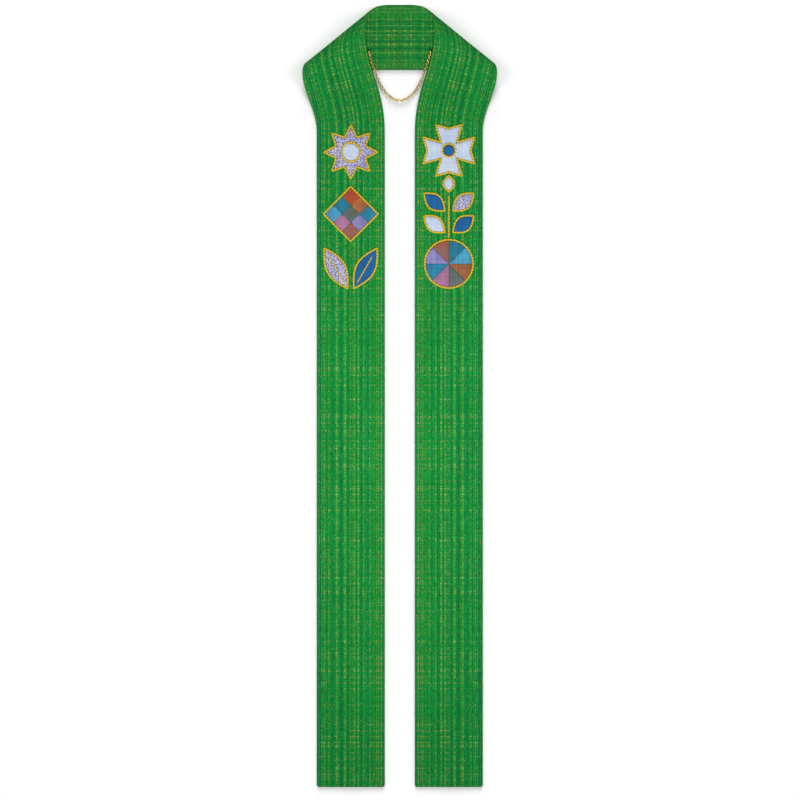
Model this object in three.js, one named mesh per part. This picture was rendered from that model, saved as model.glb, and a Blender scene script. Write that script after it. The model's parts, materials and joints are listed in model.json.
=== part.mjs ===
// A clerical stole laid flat on a surface: two halves joined at the centre back, each folded
// over at the shoulder so that its front comes down beside the other one, with a fine chain
// between the inner edges and sewn-on patches edged with couched cord on both fronts.
//
// Millimetres. X runs across, Y along the fronts with the neck at the positive end, and Z up
// from the surface, which is Z = 0. The origin is the middle of the underside.

import * as THREE from "three";

// ---- driving dimensions ----
const LENGTH = 1380; // neck edge to hems
const CLOTH = 2.4; // outer cloth, interlining and backing together
const GAP = 0.3; // between pieces that are sewn or laid on each other
const FRONT_INNER = 26.5; // centre line to a front's inner edge
const FRONT_WIDTH = 120;
const NECK_WIDTH = 115; // of the stretch behind the neck
const STRAIGHT_FROM = 222; // the fronts hang straight below this, measured from the neck edge
const HEM_CORNER = 5; // corner radius at the hems
const PATCH = 1.0; // thickness of a sewn-on patch
const CORD = 2.8; // width of the couched cord round a patch
const CORD_HEIGHT = 2.4;
const FINE_CORD = 2.0; // width of a leaf's vein
const CHAIN = 4.2; // chain diameter
const CRIMP_LENGTH = 5;
const CRIMP_RADIUS = 2.2;

const FRONT_MIDDLE = FRONT_INNER + FRONT_WIDTH / 2;
const REST = CLOTH / 2; // height of the cloth's middle where it lies on the surface
const ON_CLOTH = CLOTH + GAP; // underside of what is sewn on a front
const ON_PATCH = ON_CLOTH + PATCH + GAP; // underside of what is sewn on a patch

// ---- colours ----
const GREEN = 0x0b8a3c;
const GOLD = 0xf2bb18;
const BRASS = 0xb99432;
const PALE_BLUE = 0xbfd6ee;
const TWEED = 0x9797c0;
const BLUE = 0x17659f;
const PATCHWORK = [
  0xa9543a, 0x8d83bd, 0x2a8dab, 0xb2779e, 0x5b6d60, 0xb4683c, 0x4aa1c8, 0x1d6e8b, 0xaf4b28,
];

const stole = new THREE.Group();

function addPiece(name, geometry, color, roughness = 0.85, metalness = 0) {
  const material = new THREE.MeshStandardMaterial({ color, roughness, metalness });
  const mesh = new THREE.Mesh(geometry, material);
  mesh.name = name;
  stole.add(mesh);
  return mesh;
}

// A place on the stole: across from the centre line, down from the neck edge, and its height.
function place(across, down, height) {
  return new THREE.Vector3(across, LENGTH / 2 - down, height);
}

// ---- the two halves ----
// Each row is a straight line across the cloth, from the edge that lies at the neck to the
// outer edge, and gives the cloth's middle at both ends. The rows start at the centre back,
// turn over the shoulder fold and come down the front to where it lies straight.
const ROW_COLUMNS = [
  "neckAcross", "neckDown", "neckHeight", "outerAcross", "outerDown", "outerHeight",
];
const ROW_TABLE = [
  [GAP / 2, 0, REST, GAP / 2, NECK_WIDTH, REST], // centre-back seam
  [21, 0, REST, 70, NECK_WIDTH, REST],
  [40, 3.6, 4.4, 137, NECK_WIDTH, REST], // the neck edge begins to lift into the fold
  [52.5, 13.2, 11.5, 160, 109.5, 3.2],
  [56, 17, 15.8, 165.5, 104.4, 6.6], // outermost line of the fold
  [57.2, 21, 19.6, 168.8, 108.4, 9.8],
  [58, 28, 22.7, 170.6, 113, 11.9],
  [59.2, 38, 24, 171.4, 118.5, 12.5], // crest of the fold
  [61, 60, 20.6, 170.8, 131, 10.2],
  [57.2, 84, 13, 167.4, 146.5, 5.6],
  [48, 117, 6.2, 161, 165, 2.2], // the front leaves the neck stretch under it
  [38.4, 146, 2.9, 154, 184, REST],
  [31, 176, 1.35, 149.2, 201, REST],
  [27.4, 203, REST, 147, 213, REST],
  [FRONT_INNER, STRAIGHT_FROM, REST, FRONT_INNER + FRONT_WIDTH, STRAIGHT_FROM, REST],
].map((row) => Object.fromEntries(row.map((value, i) => [ROW_COLUMNS[i], value])));
const ROW_STEPS = 4; // stations between two rows of the table
const CLOTH_COLUMNS = 8; // quads across the cloth
const HEM_STEPS = 3; // stations round a hem corner

// Stations of one half: pairs of points on its neck-side edge and its outer edge.
function halfStations() {
  const neckEdge = new THREE.CatmullRomCurve3(
    ROW_TABLE.map((row) => place(row.neckAcross, row.neckDown, row.neckHeight))
  );
  const outerEdge = new THREE.CatmullRomCurve3(
    ROW_TABLE.map((row) => place(row.outerAcross, row.outerDown, row.outerHeight))
  );
  const count = (ROW_TABLE.length - 1) * ROW_STEPS;
  const stations = [];
  for (let i = 0; i <= count; i += 1) {
    const ends = [neckEdge.getPoint(i / count), outerEdge.getPoint(i / count)];
    for (const point of ends) {
      point.y = Math.min(point.y, LENGTH / 2);
      point.z = Math.max(point.z, REST);
    }
    stations.push(ends);
  }
  for (let i = 0; i <= HEM_STEPS; i += 1) {
    const turn = ((Math.PI / 2) * i) / HEM_STEPS;
    const inset = HEM_CORNER * (1 - Math.cos(turn));
    const down = LENGTH - HEM_CORNER * (1 - Math.sin(turn));
    const inner = place(FRONT_INNER + inset, down, REST);
    const outer = place(FRONT_INNER + FRONT_WIDTH - inset, down, REST);
    stations.push([inner, outer]);
  }
  return stations;
}

// Points of the cloth's middle, a list of columns for each station.
function halfGrid() {
  return halfStations().map(([neck, outer]) =>
    Array.from({ length: CLOTH_COLUMNS + 1 }, (_, i) =>
      neck.clone().lerp(outer, i / CLOTH_COLUMNS)
    )
  );
}

// Direction square to the cloth at a grid point, on the side that is up on the fronts.
function gridNormal(grid, r, c) {
  const alongA = grid[Math.max(r - 1, 0)][c];
  const alongB = grid[Math.min(r + 1, grid.length - 1)][c];
  const acrossA = grid[r][Math.max(c - 1, 0)];
  const acrossB = grid[r][Math.min(c + 1, grid[r].length - 1)];
  const along = alongB.clone().sub(alongA);
  const across = acrossB.clone().sub(acrossA);
  return along.cross(across).normalize();
}

// A closed wall of even thickness on both sides of a grid of points. Mirrored puts it on the
// other side of the centre line.
function wallFromGrid(grid, thickness, mirrored) {
  const rows = grid.length;
  const columns = grid[0].length;
  const positions = [];
  for (const side of [1, -1]) {
    for (let r = 0; r < rows; r += 1) {
      for (let c = 0; c < columns; c += 1) {
        const point = grid[r][c].clone();
        point.addScaledVector(gridNormal(grid, r, c), (side * thickness) / 2);
        positions.push(mirrored ? -point.x : point.x, point.y, point.z);
      }
    }
  }
  const face = (r, c) => r * columns + c;
  const back = (r, c) => rows * columns + r * columns + c;
  const quads = [];
  for (let r = 0; r < rows - 1; r += 1) {
    for (let c = 0; c < columns - 1; c += 1) {
      quads.push([face(r, c), face(r + 1, c), face(r + 1, c + 1), face(r, c + 1)]);
      quads.push([back(r, c), back(r, c + 1), back(r + 1, c + 1), back(r + 1, c)]);
    }
    quads.push([face(r, 0), back(r, 0), back(r + 1, 0), face(r + 1, 0)]);
    const last = columns - 1;
    quads.push([face(r, last), face(r + 1, last), back(r + 1, last), back(r, last)]);
  }
  for (let c = 0; c < columns - 1; c += 1) {
    const end = rows - 1;
    quads.push([face(0, c), face(0, c + 1), back(0, c + 1), back(0, c)]);
    quads.push([face(end, c), back(end, c), back(end, c + 1), face(end, c + 1)]);
  }
  const indices = [];
  for (const [p, q, s, t] of quads) {
    const turned = mirrored ? [p, s, q, p, t, s] : [p, q, s, p, s, t];
    indices.push(...turned);
  }
  const geometry = new THREE.BufferGeometry();
  geometry.setAttribute("position", new THREE.Float32BufferAttribute(positions, 3));
  geometry.setIndex(indices);
  geometry.computeVertexNormals();
  return geometry;
}

function addHalves() {
  const grid = halfGrid();
  addPiece("half_left", wallFromGrid(grid, CLOTH, true), GREEN);
  addPiece("half_right", wallFromGrid(grid, CLOTH, false), GREEN);
}

// ---- the neck chain ----
// The right half of its route, from the crimp at the inner edge to the lowest point of the
// loop: it comes down off the folded front, over the neck stretch, and on to the surface.
const CHAIN_COLUMNS = ["across", "down", "height"];
const CHAIN_TABLE = [
  [53.2, 88, 10.6],
  [50.6, 97, 8.7],
  [47.4, 108, 6.4],
  [43.9, 118, 4.7],
  [40.2, 127, 3.1],
  [35.6, 137, 2.3],
  [30.2, 147, 2.2],
  [23.6, 156, 2.2],
  [16, 162.7, 2.2],
  [8, 167.4, 2.2],
  [0, 169, 2.2],
].map((row) => Object.fromEntries(row.map((value, i) => [CHAIN_COLUMNS[i], value])));
const CHAIN_STEPS = 28;
const CHAIN_SIDES = 8;

function chainPoints() {
  const right = CHAIN_TABLE.map((row) => place(row.across, row.down, row.height));
  const left = CHAIN_TABLE.map((row) => place(-row.across, row.down, row.height));
  return [...left, ...right.reverse().slice(1)];
}

function roundSection(radius, sides) {
  const section = new THREE.Shape();
  for (let i = 0; i < sides; i += 1) {
    const angle = (2 * Math.PI * i) / sides;
    const x = radius * Math.cos(angle);
    const y = radius * Math.sin(angle);
    if (i === 0) section.moveTo(x, y);
    else section.lineTo(x, y);
  }
  section.closePath();
  return section;
}

function addChain() {
  const route = new THREE.CatmullRomCurve3(chainPoints());
  const tube = new THREE.ExtrudeGeometry(roundSection(CHAIN / 2, CHAIN_SIDES), {
    steps: CHAIN_STEPS,
    extrudePath: route,
    bevelEnabled: false,
  });
  addPiece("chain", tube, BRASS, 0.3, 0.9);
  for (const [name, end] of [["chain_end_left", 0], ["chain_end_right", 1]]) {
    const outward = route.getTangent(end).multiplyScalar(end === 0 ? -1 : 1);
    const crimp = new THREE.CylinderGeometry(CRIMP_RADIUS, CRIMP_RADIUS, CRIMP_LENGTH, 12);
    const mesh = addPiece(name, crimp, BRASS, 0.3, 0.9);
    mesh.quaternion.setFromUnitVectors(new THREE.Vector3(0, 1, 0), outward);
    mesh.position.copy(route.getPoint(end));
    mesh.position.addScaledVector(outward, GAP + CRIMP_LENGTH / 2);
  }
}

// ---- outlines of the sewn-on patches ----
// Closed outlines, anticlockwise from above, in the stole's own X and Y.
function polar(middle, radius, angle) {
  return new THREE.Vector2(
    middle.x + radius * Math.cos(angle),
    middle.y + radius * Math.sin(angle)
  );
}

function discOutline(middle, radius, sides = 32) {
  return Array.from({ length: sides }, (_, i) => polar(middle, radius, (2 * Math.PI * i) / sides));
}

function starOutline(middle, tipRadius, notchRadius, tips) {
  return Array.from({ length: tips * 2 }, (_, i) =>
    polar(middle, i % 2 === 0 ? tipRadius : notchRadius, Math.PI / 2 + (Math.PI * i) / tips)
  );
}

// A cross whose four arms widen towards their hollowed ends.
function crossOutline(middle, reach, waist, flare, hollow) {
  const points = [];
  for (let arm = 0; arm < 4; arm += 1) {
    const turn = (Math.PI / 2) * arm;
    const corners = [[waist, -waist], [reach, -flare], [reach - hollow, 0], [reach, flare]];
    for (const [out, aside] of corners) {
      const point = new THREE.Vector2(out, aside).rotateAround(new THREE.Vector2(), turn);
      points.push(point.add(middle));
    }
  }
  return points;
}

// A leaf between its base and its tip: two arcs, each bulging to half of the leaf's width.
function leafOutline(base, tip, width, steps = 8) {
  const axis = tip.clone().sub(base);
  const aside = new THREE.Vector2(axis.y, -axis.x).normalize();
  const side = (direction) =>
    Array.from({ length: steps }, (_, i) => {
      const along = direction > 0 ? i / steps : 1 - i / steps;
      const bulge = (direction * width * Math.sin(Math.PI * along)) / 2;
      return base.clone().addScaledVector(axis, along).addScaledVector(aside, bulge);
    });
  return [...side(1), ...side(-1)];
}

function wedgeOutline(middle, radius, from, to, steps = 4) {
  const rim = Array.from({ length: steps + 1 }, (_, i) =>
    polar(middle, radius, from + ((to - from) * i) / steps)
  );
  return [middle.clone(), ...rim];
}

// The outline moved outwards by a distance, or inwards where it is negative.
function offsetOutline(outline, distance) {
  const count = outline.length;
  return outline.map((point, i) => {
    const before = point.clone().sub(outline[(i + count - 1) % count]).normalize();
    const after = outline[(i + 1) % count].clone().sub(point).normalize();
    const bisector = new THREE.Vector2(before.y + after.y, -before.x - after.x).normalize();
    const stretch = Math.max(bisector.x * before.y - bisector.y * before.x, 0.45);
    return point.clone().addScaledVector(bisector, distance / stretch);
  });
}

function plate(outline, hole, height, thickness) {
  const shape = new THREE.Shape(outline);
  if (hole) shape.holes.push(new THREE.Path(hole));
  const geometry = new THREE.ExtrudeGeometry(shape, { depth: thickness, bevelEnabled: false });
  geometry.translate(0, 0, height);
  return geometry;
}

// A patch, and the couched cord that runs round its raw edge.
function addPatch(name, outline, color, height = ON_CLOTH) {
  addPiece(name, plate(outline, null, height, PATCH), color);
}

function addCord(name, outline, height = ON_CLOTH) {
  const outer = offsetOutline(outline, GAP + CORD);
  const inner = offsetOutline(outline, GAP);
  addPiece(name, plate(outer, inner, height, CORD_HEIGHT), GOLD, 0.6);
}

function addEdgedPatch(name, outline, color, height = ON_CLOTH) {
  addPatch(name, outline, color, height);
  addCord(`${name}_cord`, outline, height);
}

// A straight run of cord, from one point to another.
function addRun(name, from, to, width, height) {
  const aside = new THREE.Vector2(to.y - from.y, from.x - to.x).normalize();
  aside.multiplyScalar(width / 2);
  const outline = [
    from.clone().add(aside), to.clone().add(aside), to.clone().sub(aside), from.clone().sub(aside),
  ];
  addPiece(name, plate(outline, null, height, CORD_HEIGHT), GOLD, 0.6);
}

// A point on a front: aside from the front's middle line, and down from the neck edge.
function onFront(side, aside, down) {
  return new THREE.Vector2(side * FRONT_MIDDLE + aside, LENGTH / 2 - down);
}

// ---- appliqué of the left front ----
const STAR = { down: 260, tip: 44, notch: 26, tips: 8, disc: 15 };
const LOZENGE = { down: 369, halfDiagonal: 46, squares: 3 };
const PAIR = { base: 498, tipAside: 45, tipDown: 432, width: 30, baseAside: 7 };

function addStar() {
  const middle = onFront(-1, 0, STAR.down);
  addEdgedPatch("star", starOutline(middle, STAR.tip, STAR.notch, STAR.tips), TWEED);
  addEdgedPatch("star_disc", discOutline(middle, STAR.disc), PALE_BLUE, ON_PATCH);
}

function addLozenge() {
  const middle = onFront(-1, 0, LOZENGE.down);
  const side = LOZENGE.halfDiagonal * Math.SQRT2;
  const cell = side / LOZENGE.squares;
  const turned = (x, y) =>
    new THREE.Vector2(x, y).rotateAround(new THREE.Vector2(), Math.PI / 4).add(middle);
  const square = (low, left, size) => [
    turned(left, low), turned(left + size, low),
    turned(left + size, low + size), turned(left, low + size),
  ];
  for (let row = 0; row < LOZENGE.squares; row += 1) {
    for (let column = 0; column < LOZENGE.squares; column += 1) {
      const index = row * LOZENGE.squares + column;
      const low = -side / 2 + row * cell + GAP / 2;
      const left = -side / 2 + column * cell + GAP / 2;
      const outline = square(low, left, cell - GAP);
      addPatch(`lozenge_${index + 1}`, outline, PATCHWORK[index]);
    }
  }
  addCord("lozenge_cord", square(-side / 2, -side / 2, side));
}

function addLeaf(name, base, tip, width, color) {
  addEdgedPatch(name, leafOutline(base, tip, width), color);
  const veinFrom = base.clone().lerp(tip, 0.12);
  const veinTo = base.clone().lerp(tip, 0.8);
  addRun(`${name}_vein`, veinFrom, veinTo, FINE_CORD, ON_PATCH);
}

function addLeafPair() {
  for (const [name, side, color] of [["leaf_outer", -1, TWEED], ["leaf_inner", 1, BLUE]]) {
    const base = onFront(-1, side * PAIR.baseAside, PAIR.base);
    const tip = onFront(-1, side * PAIR.tipAside, PAIR.tipDown);
    addLeaf(name, base, tip, PAIR.width, color);
  }
}

// ---- appliqué of the right front ----
const CROSS = { down: 257, reach: 43, waist: 12, flare: 21, hollow: 6, disc: 10 };
const STEM = { top: 337, bottom: 410 };
const SPRIG_LEAVES = [
  { name: "sprig_top", colour: PALE_BLUE, aside: 0, down: 328, tipAside: 0, tipDown: 303.5, width: 17 },
  { name: "sprig_1", colour: BLUE, aside: -9, down: 362, tipAside: -42, tipDown: 334, width: 24 },
  { name: "sprig_2", colour: TWEED, aside: 9, down: 362, tipAside: 42, tipDown: 334, width: 24 },
  { name: "sprig_3", colour: PALE_BLUE, aside: -9, down: 400, tipAside: -42, tipDown: 374, width: 24 },
  { name: "sprig_4", colour: BLUE, aside: 9, down: 400, tipAside: 42, tipDown: 374, width: 24 },
];
const WHEEL = { down: 457, radius: 41, wedges: 8 };

function addCross() {
  const middle = onFront(1, 0, CROSS.down);
  const outline = crossOutline(middle, CROSS.reach, CROSS.waist, CROSS.flare, CROSS.hollow);
  addEdgedPatch("cross", outline, PALE_BLUE);
  addEdgedPatch("cross_disc", discOutline(middle, CROSS.disc, 24), BLUE, ON_PATCH);
}

function addSprig() {
  addRun("sprig_stem", onFront(1, 0, STEM.bottom), onFront(1, 0, STEM.top), CORD, ON_CLOTH);
  for (const leaf of SPRIG_LEAVES) {
    const base = onFront(1, leaf.aside, leaf.down);
    const tip = onFront(1, leaf.tipAside, leaf.tipDown);
    addEdgedPatch(leaf.name, leafOutline(base, tip, leaf.width), leaf.colour);
  }
}

function addWheel() {
  const middle = onFront(1, 0, WHEEL.down);
  const turn = (2 * Math.PI) / WHEEL.wedges;
  for (let i = 0; i < WHEEL.wedges; i += 1) {
    const hub = polar(middle, GAP, turn * (i + 0.5));
    const outline = wedgeOutline(hub, WHEEL.radius - GAP, turn * i, turn * (i + 1));
    addPatch(`wheel_${i + 1}`, offsetOutline(outline, -GAP / 4), PATCHWORK[i]);
  }
  addCord("wheel_cord", discOutline(middle, WHEEL.radius));
}

addHalves();
addChain();
addStar();
addLozenge();
addLeafPair();
addCross();
addSprig();
addWheel();

export default stole;
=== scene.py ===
# A clerical stole laid flat on a white surface: two halves of green cloth folded over at the
# shoulders, a fine neck chain between them, and sewn-on patches edged with couched gold cord.
# Metres, X across, +Y towards the neck, Z up.

import json
import math

import bmesh
import bpy
import numpy as np
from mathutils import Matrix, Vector

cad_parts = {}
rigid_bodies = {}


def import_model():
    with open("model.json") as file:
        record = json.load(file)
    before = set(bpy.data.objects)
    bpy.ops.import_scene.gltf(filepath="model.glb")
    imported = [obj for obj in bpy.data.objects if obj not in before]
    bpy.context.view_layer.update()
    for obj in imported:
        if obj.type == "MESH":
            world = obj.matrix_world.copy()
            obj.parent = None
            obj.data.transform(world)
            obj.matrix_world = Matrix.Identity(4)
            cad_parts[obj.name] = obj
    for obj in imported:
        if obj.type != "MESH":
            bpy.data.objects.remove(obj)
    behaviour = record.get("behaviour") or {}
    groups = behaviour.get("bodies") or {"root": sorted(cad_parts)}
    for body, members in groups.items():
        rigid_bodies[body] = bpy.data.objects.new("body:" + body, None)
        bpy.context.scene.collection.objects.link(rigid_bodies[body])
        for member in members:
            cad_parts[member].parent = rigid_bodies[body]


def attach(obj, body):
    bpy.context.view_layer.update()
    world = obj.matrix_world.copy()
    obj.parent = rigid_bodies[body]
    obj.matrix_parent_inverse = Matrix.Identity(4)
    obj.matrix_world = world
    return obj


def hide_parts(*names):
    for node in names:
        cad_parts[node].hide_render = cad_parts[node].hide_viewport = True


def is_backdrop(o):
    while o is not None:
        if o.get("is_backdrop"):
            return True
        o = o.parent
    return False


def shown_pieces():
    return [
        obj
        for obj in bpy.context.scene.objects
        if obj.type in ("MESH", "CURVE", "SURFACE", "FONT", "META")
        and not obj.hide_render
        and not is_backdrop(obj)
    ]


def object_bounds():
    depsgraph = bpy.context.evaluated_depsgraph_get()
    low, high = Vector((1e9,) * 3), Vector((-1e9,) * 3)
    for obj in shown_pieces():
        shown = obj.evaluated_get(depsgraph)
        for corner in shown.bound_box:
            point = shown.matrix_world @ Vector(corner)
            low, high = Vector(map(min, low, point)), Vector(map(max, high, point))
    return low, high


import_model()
CAD_LOW, CAD_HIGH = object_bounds()
MM = 0.001
FAR = 1.0  # m, past the reach of any edge

# ---- sizes, repeated from the part ----
LENGTH = CAD_HIGH.y - CAD_LOW.y
NECK_EDGE = CAD_HIGH.y
CLOTH = 2.4 * MM
GAP = 0.3 * MM
FRONT_INNER = 26.5 * MM
FRONT_WIDTH = 120 * MM
FRONT_MIDDLE = FRONT_INNER + FRONT_WIDTH / 2
NECK_WIDTH = 115 * MM
HEM_CORNER = 5 * MM
PATCH = 1.0 * MM
CORD_WIDTH = 3.3 * MM
FINE_CORD_WIDTH = 2.3 * MM
CORD_BESIDE = 1.6 * MM  # from a patch's raw edge out to the middle of its cord
CRIMP_LENGTH = 5 * MM
CRIMP_RADIUS = 2.2 * MM
ON_CLOTH = CLOTH + 0.1 * MM
ON_PATCH = ON_CLOTH + PATCH + 0.1 * MM


def place(across, down, height=0.0):
    """A point from its place across the centre line, down from the neck edge, and up."""
    return Vector((across, NECK_EDGE - down, height))


def on_front(side, aside, down):
    """A plan point on a front, aside from its middle line and down from the neck edge, in mm."""
    return np.array([side * FRONT_MIDDLE + aside * MM, NECK_EDGE - down * MM])


def smooth_share(value, low, high):
    """0 below low and 1 above high, with an even turn between them."""
    share = np.clip((value - low) / (high - low), 0, 1)
    return share * share * (3 - 2 * share)


# ---- camera ----
FRAME_WIDTH = LENGTH * 1.0231
LENS = 100
SENSOR = 36
CAMERA_ASIDE = 0.4 * MM
CAMERA_BELOW_MIDDLE = 7.1 * MM
SEES_TO = 60  # m


def add_camera():
    data = bpy.data.cameras.new("camera")
    data.lens = LENS
    data.sensor_width = SENSOR
    data.clip_end = SEES_TO
    camera = bpy.data.objects.new("camera", data)
    bpy.context.scene.collection.objects.link(camera)
    middle = (CAD_LOW + CAD_HIGH) / 2
    camera.location = (CAMERA_ASIDE, middle.y - CAMERA_BELOW_MIDDLE, FRAME_WIDTH * LENS / SENSOR)
    bpy.context.scene.camera = camera


add_camera()


# ---- materials: small node helpers ----
def new_material(name, roughness, metallic=0.0, specular=0.12):
    material = bpy.data.materials.new(name)
    material.use_nodes = True
    surface = material.node_tree.nodes["Principled BSDF"]
    surface.inputs["Roughness"].default_value = roughness
    surface.inputs["Metallic"].default_value = metallic
    surface.inputs["Specular IOR Level"].default_value = specular
    return material.node_tree, surface, material


def node(tree, kind, inputs=(), **settings):
    """A shader node with its settings, and its inputs set to values or linked, by number."""
    made = tree.nodes.new("ShaderNode" + kind)
    for name, value in settings.items():
        setattr(made, name, value)
    for number, value in dict(inputs).items():
        if isinstance(value, bpy.types.NodeSocket):
            tree.links.new(value, made.inputs[number])
        else:
            made.inputs[number].default_value = value
    return made


def maths(tree, operation, first, second=0.0, third=0.0):
    inputs = {0: first, 1: second, 2: third}
    return node(tree, "Math", inputs, operation=operation).outputs[0]


def ramp(tree, share, stops):
    """Colours at their places along a share, running evenly from one to the next."""
    made = node(tree, "ValToRGB", {0: share})
    elements = made.color_ramp.elements
    while len(elements) < len(stops):
        elements.new(0.5)
    for element, (position, colour) in zip(elements, stops):
        element.position = position
        element.color = (*colour, 1)
    return made.outputs[0]


def blend_colours(tree, share, first, second, kind="MIX"):
    made = node(tree, "Mix", data_type="RGBA", blend_type=kind)
    sockets = (made.inputs[0], made.inputs[6], made.inputs[7])
    for socket, value in zip(sockets, (share, first, second)):
        if isinstance(value, bpy.types.NodeSocket):
            tree.links.new(value, socket)
        elif isinstance(value, tuple):
            socket.default_value = (*value, 1)
        else:
            socket.default_value = value
    return made.outputs[2]


def grey(tree, share, low, high):
    """A share from 0 to 1 stretched to run from low to high."""
    return maths(tree, "MULTIPLY_ADD", share, high - low, low)


def bump(tree, surface, height, distance):
    made = node(tree, "Bump", {0: 1.0, 1: distance})
    tree.links.new(height, made.inputs["Height"])
    tree.links.new(made.outputs[0], surface.inputs["Normal"])


def mapped(tree, source, scale):
    """The X and Y of a coordinate, scaled."""
    scaled = node(tree, "VectorMath", {0: source}, operation="SCALE")
    scaled.inputs["Scale"].default_value = scale
    parts = node(tree, "SeparateXYZ", {0: scaled.outputs[0]})
    return parts.outputs[0], parts.outputs[1]


def thread_value(tree, position, pitch, seed):
    """A number of its own for each thread lying side by side at a pitch, and the thread's number."""
    number = maths(tree, "FLOOR", maths(tree, "DIVIDE", position, pitch))
    seeded = maths(tree, "ADD", number, seed)
    value = node(tree, "TexWhiteNoise", noise_dimensions="1D")
    tree.links.new(seeded, value.inputs["W"])
    return value.outputs["Value"], number


def cloud(tree, x, y, x_scale, y_scale, detail=2.0, rough=0.5):
    """Soft noise over two coordinates, each with a wavelength of its own."""
    spot = node(tree, "CombineXYZ", {
        0: maths(tree, "DIVIDE", x, x_scale),
        1: maths(tree, "DIVIDE", y, y_scale),
    }).outputs[0]
    made = node(tree, "TexNoise", {0: spot}, noise_dimensions="2D")
    made.inputs["Scale"].default_value = 1.0
    made.inputs["Detail"].default_value = detail
    made.inputs["Roughness"].default_value = rough
    return made.outputs[0]


# ---- the green cloth: lengthwise stripes of mixed threads, crossed by slubby yellow ones ----
STRIPE = 1.45  # mm, width of a lengthwise stripe of threads
PICK = 1.75  # mm, from one crosswise thread to the next
THREAD = 0.55  # mm, the fine weave that both are made of
WIDE_STRIPE = STRIPE * 2.9  # mm
STRIPE_DRIFT = 46  # mm, how far a stripe runs before its tone changes
PICK_DRIFT = 21  # mm, how far a crosswise thread shows before it goes under
SLUB_ON_NECK = 0.10
ORANGE_FROM = 0.992  # a speck's own number, from 0 to 1, past which it is orange
ORANGE_SHARE = 0.55
EDGE_SHADE_SHARE = 0.55  # how much of the painted edge shade shows right at an edge
DARK_GREEN = (0.0005, 0.20, 0.048)
MID_GREEN = (0.003, 0.28, 0.040)
GRASS_GREEN = (0.018, 0.33, 0.032)
LIGHT_GREEN = (0.060, 0.38, 0.055)
YELLOW_SLUB = (0.40, 0.52, 0.12)
ORANGE_FLECK = (0.45, 0.26, 0.05)
# painted shade: the darker olive laid along the cloth's cut edges
EDGE_SHADE_OLIVE = (0.045, 0.20, 0.030)


def green_cloth():
    """Woven cloth on its own map: stripes along, slubs across, flecks, and painted shade along the
    edges.
    """
    tree, surface, material = new_material("green_cloth", 0.8)
    uv = node(tree, "UVMap", uv_map="weave").outputs[0]
    along, across = mapped(tree, uv, 1 / MM)
    neck = node(tree, "Attribute", attribute_name="neck").outputs["Fac"]
    edge = node(tree, "Attribute", attribute_name="edge").outputs["Fac"]

    stripe, stripe_number = thread_value(tree, across, STRIPE, 11.3)
    wide_stripe, _ = thread_value(tree, across, WIDE_STRIPE, 47.1)
    pick, pick_number = thread_value(tree, along, PICK, 203.7)
    stripe_drift = cloud(tree, along, stripe_number, STRIPE_DRIFT, 0.61)
    light_stripe = maths(tree, "ADD", maths(tree, "MULTIPLY", stripe, 0.62),
                         maths(tree, "MULTIPLY", wide_stripe, 0.18))
    light_stripe = maths(tree, "ADD", light_stripe, maths(tree, "MULTIPLY", stripe_drift, 0.30))
    ground = ramp(tree, light_stripe, [
        (0.22, DARK_GREEN), (0.48, MID_GREEN), (0.72, GRASS_GREEN), (0.96, LIGHT_GREEN),
    ])

    strong_pick = maths(tree, "POWER", pick, 2.6)
    pick_drift = cloud(tree, pick_number, across, 0.53, PICK_DRIFT)
    shown = maths(tree, "MULTIPLY", strong_pick,
                  node(tree, "MapRange", {0: pick_drift, 1: 0.36, 2: 0.60}).outputs[0])
    over_light = node(tree, "MapRange", {0: light_stripe, 1: 0.45, 2: 0.85}).outputs[0]
    on_neck = maths(tree, "MULTIPLY", maths(tree, "MULTIPLY", neck, SLUB_ON_NECK), strong_pick)
    slub = maths(tree, "ADD", maths(tree, "MULTIPLY", shown, over_light), on_neck)
    alternate = maths(tree, "PINGPONG", pick_number, 1.0)
    slub = maths(tree, "MULTIPLY", slub, grey(tree, alternate, 0.45, 1.35))
    slub = maths(tree, "MINIMUM", slub, 1.0)
    colour = blend_colours(tree, slub, ground, YELLOW_SLUB)

    cell = node(tree, "CombineXYZ", {0: stripe_number, 1: pick_number}).outputs[0]
    speck = node(tree, "TexWhiteNoise", {0: cell}, noise_dimensions="2D").outputs["Value"]
    cell_tone = grey(tree, speck, 0.66, 1.30)
    colour = blend_colours(tree, 1.0, colour, cell_tone, "MULTIPLY")
    orange = maths(tree, "GREATER_THAN", speck, ORANGE_FROM)
    orange = maths(tree, "MULTIPLY", orange, ORANGE_SHARE)
    colour = blend_colours(tree, orange, colour, ORANGE_FLECK)

    tone = cloud(tree, along, across, 170, 60, detail=3)
    colour = blend_colours(tree, 1.0, colour, grey(tree, tone, 0.90, 1.10), "MULTIPLY")
    # painted shade: the cloth darkened towards olive along its cut edges
    edge_shade = maths(tree, "MULTIPLY", edge, EDGE_SHADE_SHARE)
    colour = blend_colours(tree, edge_shade, colour, EDGE_SHADE_OLIVE)
    tree.links.new(colour, surface.inputs["Base Color"])

    warp_wave = maths(tree, "SINE", maths(tree, "MULTIPLY", across, 2 * math.pi / THREAD))
    weft_wave = maths(tree, "SINE", maths(tree, "MULTIPLY", along, 2 * math.pi / THREAD))
    fine = maths(tree, "MULTIPLY", warp_wave, weft_wave)
    relief = maths(tree, "ADD", maths(tree, "MULTIPLY", fine, 0.25),
                   maths(tree, "ADD", maths(tree, "MULTIPLY", light_stripe, 0.9), slub))
    bump(tree, surface, relief, 0.12 * MM)
    surface.inputs["Sheen Weight"].default_value = 0.04
    return material


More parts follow.
